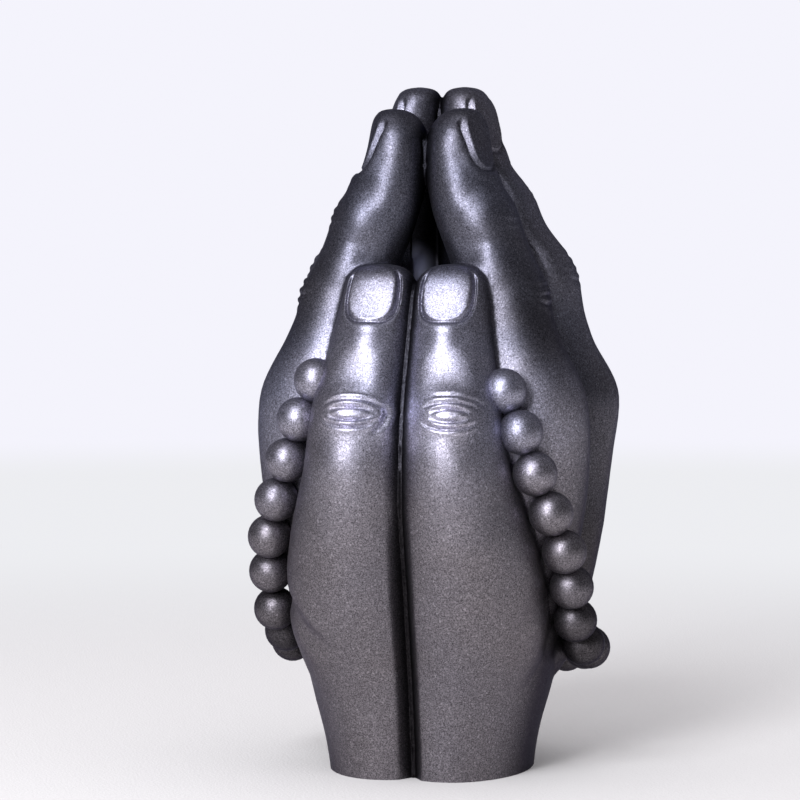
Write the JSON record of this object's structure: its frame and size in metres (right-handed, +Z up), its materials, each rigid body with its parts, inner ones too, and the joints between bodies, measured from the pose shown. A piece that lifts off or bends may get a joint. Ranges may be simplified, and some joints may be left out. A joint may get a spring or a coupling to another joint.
{
  "type": "praying hands statue",
  "caption": "Standing figurine of two hands pressed palm to palm, thumbs in front, with a string of round beads draped behind the thumbs and round the wrists.",
  "frame": {"origin": "middle of the flat base at the wrists", "axes": "+Z up through the fingertips, -Y towards the thumbs, the palms meet in the plane x = 0"},
  "size_m": [0.0786, 0.08, 0.1473],
  "materials": {
    "gunmetal_paint": "satin gunmetal metallic paint with a fine sparkle over cast resin"
  },
  "bodies": {
    "root": {"praying_hands": "gunmetal_paint"}
  },
  "joints": []
}
